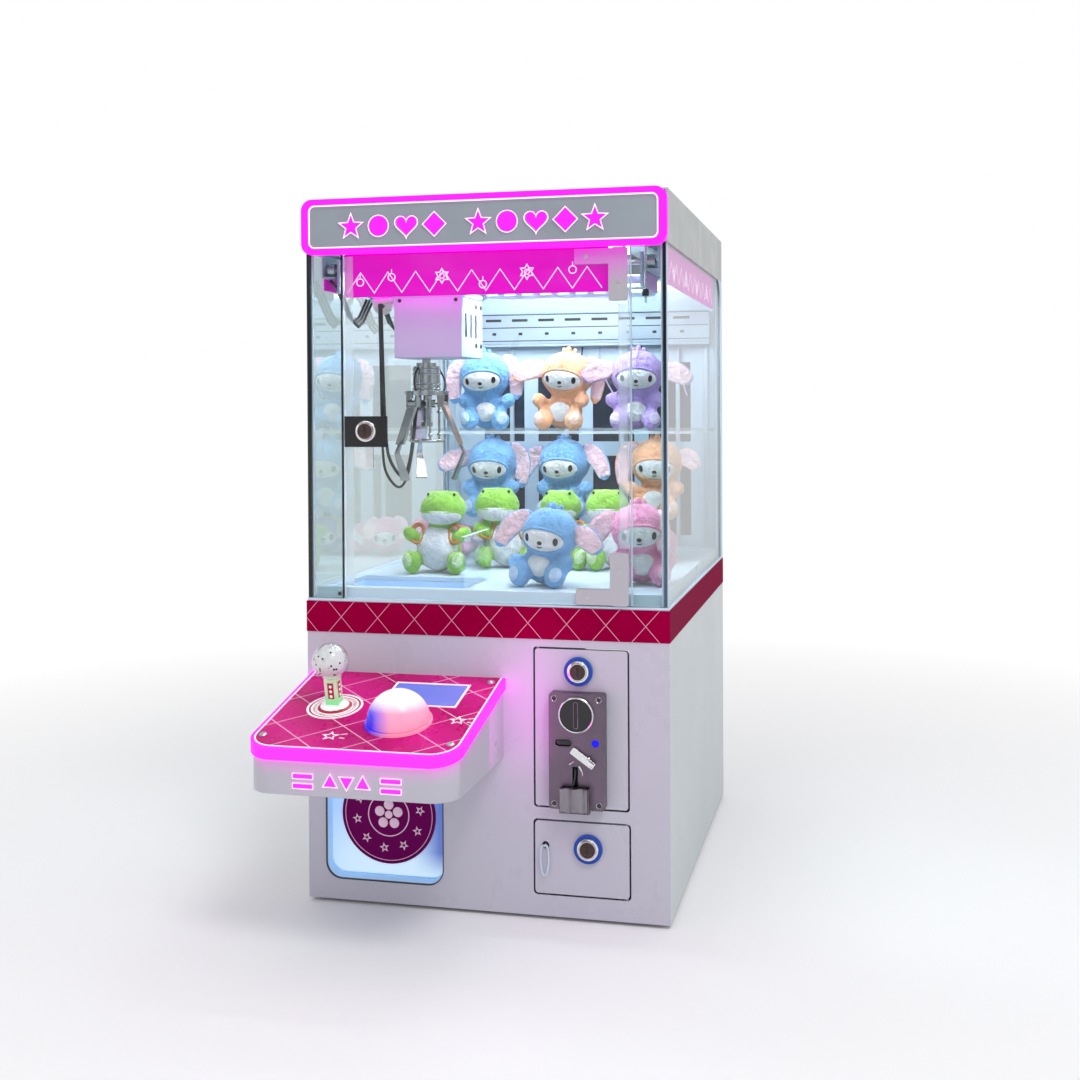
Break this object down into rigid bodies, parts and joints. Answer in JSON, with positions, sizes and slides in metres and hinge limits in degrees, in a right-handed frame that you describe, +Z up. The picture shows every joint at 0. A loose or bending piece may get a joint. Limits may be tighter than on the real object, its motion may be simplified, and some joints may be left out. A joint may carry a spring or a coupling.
{
  "type": "claw crane machine",
  "caption": "Table-top claw crane machine: glass toy chamber with travelling three-finger claw, control desk, coin door and prize flap.",
  "frame": {"origin": "centre of the cabinet's flat underside; the rubber feet stand 4 mm below it", "axes": "+Z up, +X to the player's right, +Y from the player towards the back"},
  "size_m": [0.4216, 0.709, 0.805],
  "materials": {
    "white_steel": "gloss powder coat",
    "pan_steel": "satin powder coat",
    "rubber_foot": "matt",
    "belt_film": "gloss printed film",
    "white_plastic": "gloss moulding",
    "clear_acrylic": "clear",
    "clear_glass": "clear, tempered",
    "rear_paint": "satin",
    "header_paint": "satin",
    "header_grey": "satin acrylic",
    "magenta_light": "translucent, lit from behind",
    "valance_print": "printed acrylic",
    "light_diffuser": "opal, lit from behind",
    "gantry_paint": "satin",
    "desk_print": "printed acrylic",
    "screen_glass": "lit display",
    "dark_plastic": "matt moulding",
    "bright_steel": "brushed",
    "circuit_board": "solder-resist green",
    "acceptor_steel": "brushed",
    "chrome_lock": "polished",
    "claw_chrome": "polished",
    "motor_dark": "satin",
    "flap_panel": "translucent acrylic",
    "stick_clear": "clear, lit",
    "ball_clear": "clear globe",
    "button_white": "opal, lit",
    "cord": "braided",
    "cable_rubber": "satin",
    "plush_pastel": "short pile",
    "plush_green": "short pile"
  },
  "bodies": {
    "cabinet": {"base_pan": "pan_steel", "feet": "rubber_foot", "front_panel": "white_steel", "side_panels": "white_steel", "rear_panel": "white_steel", "belt_trim": "belt_film", "deck": "white_plastic", "prize_chute": "white_plastic", "chute_guard": "clear_acrylic", "fixed_glass": "clear_glass", "rear_frame": "rear_paint", "header_box": "header_paint", "header_face": "header_grey", "header_lights": "magenta_light", "valances": "valance_print", "chamber_lights": "light_diffuser", "gantry_rails": "gantry_paint", "display_shelf": "clear_acrylic", "desk_housing": "white_plastic", "desk_lights": "magenta_light", "desk_top_panel": "desk_print", "display_screen": "screen_glass", "joystick_base": "dark_plastic", "button_housing": "white_plastic", "coin_box": "bright_steel", "power_supply": "bright_steel", "control_board": "circuit_board", "mains_inlet": "dark_plastic", "plush_hooded_toys": "plush_pastel", "plush_frog_toys": "plush_green"},
    "glass_door": {"glass_door": "clear_glass", "door_brackets": "bright_steel", "glass_lock_plate": "dark_plastic"},
    "glass_lock": {"glass_lock": "chrome_lock"},
    "coin_door": {"coin_door": "white_steel", "coin_acceptor": "acceptor_steel"},
    "coin_lock": {"coin_lock": "chrome_lock"},
    "reject_lever": {"reject_lever": "bright_steel"},
    "return_flap": {"return_flap": "dark_plastic"},
    "cash_door": {"cash_door": "white_steel"},
    "cash_lock": {"cash_lock": "chrome_lock"},
    "prize_flap": {"prize_flap": "flap_panel"},
    "gimbal": {"gimbal_ring": "bright_steel"},
    "stick": {"joystick_stick": "stick_clear", "joystick_ball": "ball_clear"},
    "button": {"button_dome": "button_white"},
    "bridge": {"bridge_frame": "gantry_paint", "bridge_motor": "motor_dark"},
    "bridge_axle": {"bridge_axle": "bright_steel"},
    "trolley": {"trolley_frame": "bright_steel", "trolley_cover": "white_plastic", "winch_motor": "motor_dark", "lift_cord": "cord", "claw_cable": "cable_rubber"},
    "winch_drum": {"winch_drum": "bright_steel"},
    "claw": {"claw_housing": "claw_chrome"},
    "plunger": {"claw_plunger": "claw_chrome"},
    "finger_1": {"finger_1": "claw_chrome"},
    "finger_2": {"finger_2": "claw_chrome"},
    "finger_3": {"finger_3": "claw_chrome"}
  },
  "joints": [
    {"name": "glass_door_hinge", "type": "hinge", "parent": "cabinet", "child": "glass_door", "pos_m": [0.1615, -0.2575, 0.54], "axis": [0, 0, 1], "range_deg": [0, 100]},
    {"name": "glass_lock_turn", "type": "hinge", "parent": "glass_door", "child": "glass_lock", "pos_m": [-0.136, -0.258, 0.537], "axis": [0, 1, 0], "range_deg": [0, 90]},
    {"name": "coin_door_hinge", "type": "hinge", "parent": "cabinet", "child": "coin_door", "pos_m": [0.0628, -0.2566, 0.2095], "axis": [0, 0, -1], "range_deg": [0, 90]},
    {"name": "coin_lock_turn", "type": "hinge", "parent": "coin_door", "child": "coin_lock", "pos_m": [0.1095, -0.258, 0.273], "axis": [0, -1, 0], "range_deg": [0, 90]},
    {"name": "reject_lever_press", "type": "hinge", "parent": "coin_door", "child": "reject_lever", "pos_m": [0.117, -0.277, 0.1815], "axis": [0, 1, 0], "range_deg": [0, 20]},
    {"name": "return_flap_hinge", "type": "hinge", "parent": "coin_door", "child": "return_flap", "pos_m": [0.108, -0.268, 0.167], "axis": [-1, 0, 0], "range_deg": [0, 18]},
    {"name": "cash_door_hinge", "type": "hinge", "parent": "cabinet", "child": "cash_door", "pos_m": [0.162, -0.2566, 0.0655], "axis": [0, 0, 1], "range_deg": [0, 100]},
    {"name": "cash_lock_turn", "type": "hinge", "parent": "cash_door", "child": "cash_lock", "pos_m": [0.1195, -0.258, 0.078], "axis": [0, -1, 0], "range_deg": [0, 90]},
    {"name": "prize_flap_hinge", "type": "hinge", "parent": "cabinet", "child": "prize_flap", "pos_m": [-0.11825, -0.242, 0.148], "axis": [1, 0, 0], "range_deg": [0, 60]},
    {"name": "joystick_fore_aft", "type": "hinge", "parent": "cabinet", "child": "gimbal", "pos_m": [-0.14, -0.34248, 0.21289], "axis": [1, 0, 0], "range_deg": [-12, 12]},
    {"name": "joystick_side", "type": "hinge", "parent": "gimbal", "child": "stick", "pos_m": [-0.14, -0.34248, 0.21289], "axis": [0, 0.9761, 0.2175], "range_deg": [-12, 12]},
    {"name": "button_press", "type": "slide", "parent": "cabinet", "child": "button", "axis": [0, -0.2175, 0.9761], "range_m": [-0.0028, 0]},
    {"name": "bridge_travel", "type": "slide", "parent": "cabinet", "child": "bridge", "axis": [0, 1, 0], "range_m": [0, 0.17]},
    {"name": "bridge_axle_spin", "type": "hinge", "parent": "bridge", "child": "bridge_axle", "pos_m": [0, -0.23, 0.72355], "axis": [1, 0, 0], "continuous": true},
    {"name": "trolley_travel", "type": "slide", "parent": "bridge", "child": "trolley", "axis": [1, 0, 0], "range_m": [0, 0.2]},
    {"name": "claw_lift", "type": "slide", "parent": "trolley", "child": "claw", "axis": [0, 0, 1], "range_m": [-0.22, 0], "deforming": ["lift_cord", "claw_cable"]},
    {"name": "winch_drum_spin", "type": "hinge", "parent": "trolley", "child": "winch_drum", "pos_m": [-0.09, -0.1728, 0.66], "axis": [1, 0, 0], "continuous": true},
    {"name": "finger_1_hinge", "type": "hinge", "parent": "claw", "child": "finger_1", "pos_m": [-0.07, -0.184, 0.568], "axis": [0, 1, 0], "range_deg": [-6, 17]},
    {"name": "finger_2_hinge", "type": "hinge", "parent": "claw", "child": "finger_2", "pos_m": [-0.1, -0.16668, 0.568], "axis": [-0.866, -0.5, 0], "range_deg": [-6, 17]},
    {"name": "finger_3_hinge", "type": "hinge", "parent": "claw", "child": "finger_3", "pos_m": [-0.1, -0.20132, 0.568], "axis": [0.866, -0.5, 0], "range_deg": [-6, 17]},
    {"name": "plunger_lift", "type": "slide", "parent": "claw", "child": "plunger", "axis": [0, 0, 1], "range_m": [-0.0014, 0.0038]}
  ],
  "couplings": [
    {"joint": "bridge_axle_spin", "follows": "bridge_travel", "rad_per_m": -125},
    {"joint": "winch_drum_spin", "follows": "claw_lift", "rad_per_m": 90.909},
    {"joint": "finger_2_hinge", "follows": "finger_1_hinge", "ratio": 1},
    {"joint": "finger_3_hinge", "follows": "finger_1_hinge", "ratio": 1},
    {"joint": "plunger_lift", "follows": "finger_1_hinge", "m_per_rad": 0.012}
  ]
}
